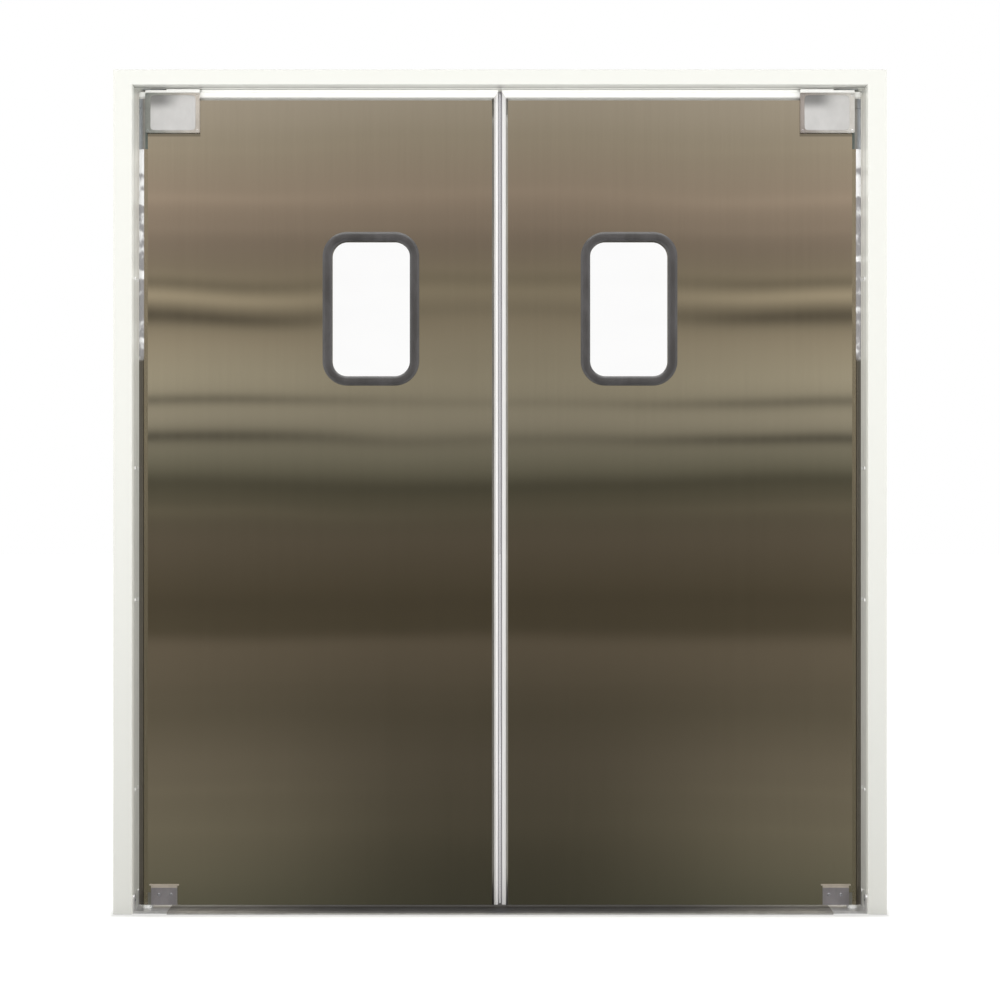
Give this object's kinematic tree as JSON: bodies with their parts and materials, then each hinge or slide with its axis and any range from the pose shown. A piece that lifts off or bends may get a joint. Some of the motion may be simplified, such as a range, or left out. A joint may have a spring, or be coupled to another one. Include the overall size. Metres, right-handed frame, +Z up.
{
  "type": "stainless steel double doors",
  "caption": "Pair of stainless steel traffic doors that swing both ways in a white folded-steel frame, with windows, hinge guards, white gaskets and a threshold.",
  "frame": {"origin": "underside of the threshold, midway between the jambs and midway through the frame", "axes": "+X to the right seen from the front, +Y away from the front, +Z up"},
  "size_m": [1.925, 0.146, 2.101],
  "materials": {
    "white_frame_paint": "satin white enamel",
    "stainless_skin": "vertical brushed grain",
    "stainless_spine": "fine vertical grain",
    "core_board": "raw plywood",
    "edge_channel": "mill finish",
    "white_gasket": "matt white",
    "black_rubber": "satin black",
    "clear_pane": "clear",
    "guard_steel": "satin",
    "dark_hinge_steel": "dark blue-grey plated",
    "shoe_steel": "satin",
    "threshold_metal": "dark mill finish",
    "zinc_strap": "zinc plated",
    "bracket_steel": "satin",
    "nylon": "natural nylon"
  },
  "bodies": {
    "frame": {"left_jamb": "white_frame_paint", "right_jamb": "white_frame_paint", "header": "white_frame_paint", "threshold": "threshold_metal", "left_wall_anchors": "zinc_strap", "right_wall_anchors": "zinc_strap", "left_floor_clip": "zinc_strap", "right_floor_clip": "zinc_strap", "left_header_socket": "zinc_strap", "right_header_socket": "zinc_strap", "left_floor_bracket": "bracket_steel", "right_floor_bracket": "bracket_steel", "left_thrust_washer": "nylon", "right_thrust_washer": "nylon"},
    "left_leaf": {"left_core": "core_board", "left_front_skin": "stainless_skin", "left_back_skin": "stainless_skin", "left_spine": "stainless_spine", "left_meeting_channel": "edge_channel", "left_top_channel": "edge_channel", "left_bottom_channel": "edge_channel", "left_meeting_gasket": "white_gasket", "left_top_gasket": "white_gasket", "left_window_ring_front": "black_rubber", "left_window_ring_back": "black_rubber", "left_window_pane": "clear_pane", "left_hinge_guard": "guard_steel", "left_hinge_knuckle": "dark_hinge_steel", "left_bottom_shoe": "shoe_steel"},
    "right_leaf": {"right_core": "core_board", "right_front_skin": "stainless_skin", "right_back_skin": "stainless_skin", "right_spine": "stainless_spine", "right_meeting_channel": "edge_channel", "right_top_channel": "edge_channel", "right_bottom_channel": "edge_channel", "right_meeting_gasket": "white_gasket", "right_top_gasket": "white_gasket", "right_window_ring_front": "black_rubber", "right_window_ring_back": "black_rubber", "right_window_pane": "clear_pane", "right_hinge_guard": "guard_steel", "right_hinge_knuckle": "dark_hinge_steel", "right_bottom_shoe": "shoe_steel"}
  },
  "joints": [
    {"name": "left_leaf_swing", "type": "hinge", "parent": "frame", "child": "left_leaf", "pos_m": [-0.886, 0, 0], "axis": [0, 0, 1], "range_deg": [-90, 90], "stiffness_Nm_per_rad": 6},
    {"name": "right_leaf_swing", "type": "hinge", "parent": "frame", "child": "right_leaf", "pos_m": [0.886, 0, 0], "axis": [0, 0, -1], "range_deg": [-90, 90], "stiffness_Nm_per_rad": 6}
  ]
}
